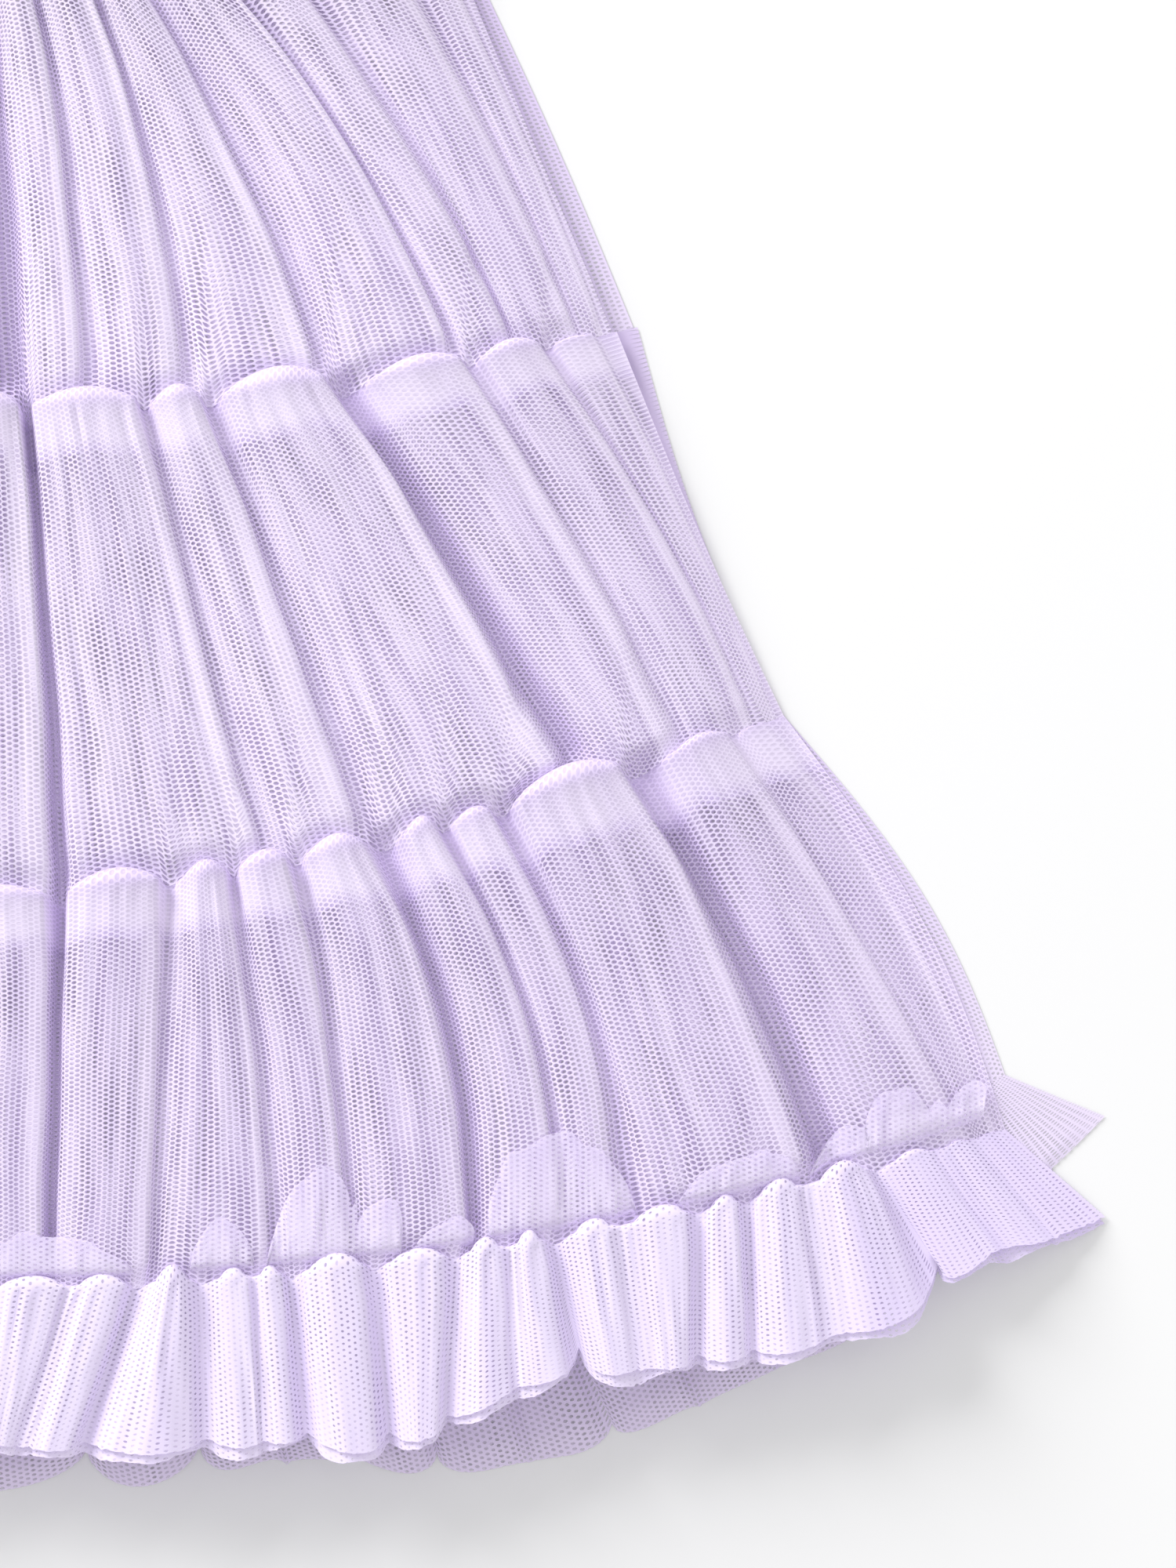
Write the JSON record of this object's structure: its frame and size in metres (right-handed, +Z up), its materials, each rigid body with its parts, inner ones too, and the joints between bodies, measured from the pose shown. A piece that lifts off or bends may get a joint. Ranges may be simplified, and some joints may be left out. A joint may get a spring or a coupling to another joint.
{
  "type": "tutu dress",
  "caption": "Child's sleeveless tutu dress laid flat: plain bodice over gathered tulle tiers that widen to a ruffled hem.",
  "frame": {"origin": "on the surface that the dress lies on, in the middle of its length and width", "axes": "+Z up from the surface through the front of the dress, +Y from the hem towards the neck, +X to the right as seen from above"},
  "size_m": [0.544, 0.5768, 0.0255],
  "materials": {
    "tulle": "matte",
    "ruffle_tulle": "matte",
    "jersey": "matte"
  },
  "bodies": {
    "root": {"bodice_front": "jersey", "bodice_back": "jersey", "tier_1_front": "tulle", "tier_1_back": "tulle", "tier_2_front": "tulle", "tier_2_back": "tulle", "tier_3_front": "tulle", "tier_3_back": "tulle", "hem_ruffle_front": "ruffle_tulle", "hem_ruffle_back": "ruffle_tulle"}
  },
  "joints": []
}
